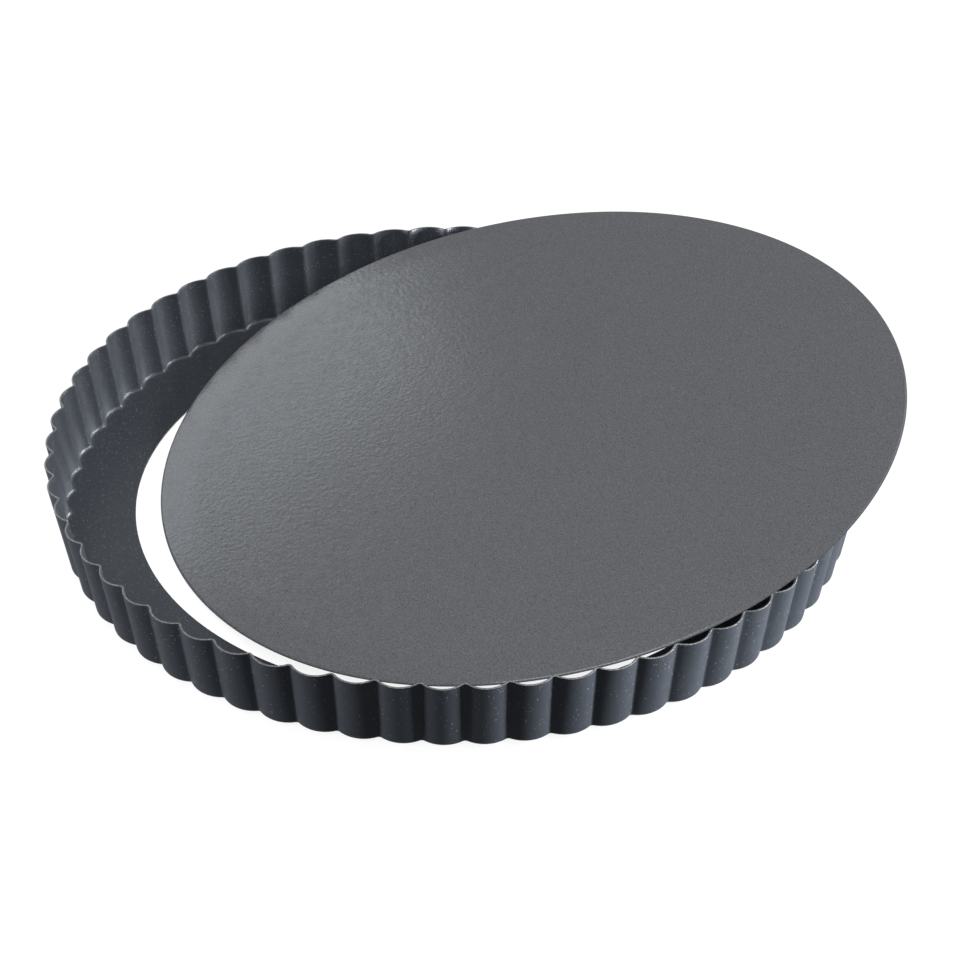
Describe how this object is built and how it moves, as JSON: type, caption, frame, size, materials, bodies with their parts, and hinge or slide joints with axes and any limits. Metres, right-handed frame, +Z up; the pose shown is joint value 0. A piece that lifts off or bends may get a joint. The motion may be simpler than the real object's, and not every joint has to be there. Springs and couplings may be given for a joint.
{
  "type": "tart pan",
  "caption": "Loose-bottomed round tart pan: a fluted ring with a flat ledge, and a round base set aside leaning on the rim.",
  "frame": {"origin": "on the ring's axis, in the surface that the ring's ledge rests on", "axes": "+Z up along the ring's axis; the loose base leans with its low side towards -X and its high side towards +X"},
  "size_m": [0.3147, 0.2998, 0.0543],
  "materials": {
    "ring_coating": "anthracite non-stick coating on pressed sheet steel, satin, with a bare cut edge at the rim",
    "base_coating": "anthracite non-stick coating on pressed sheet steel, satin with a fine orange-peel texture"
  },
  "bodies": {
    "ring": {"fluted_ring": "ring_coating"},
    "base": {"loose_base": "base_coating"}
  },
  "joints": [
    {"name": "base_lift", "type": "slide", "parent": "ring", "child": "base", "axis": [0, 0, 1], "range_m": [0, 0.06]}
  ]
}
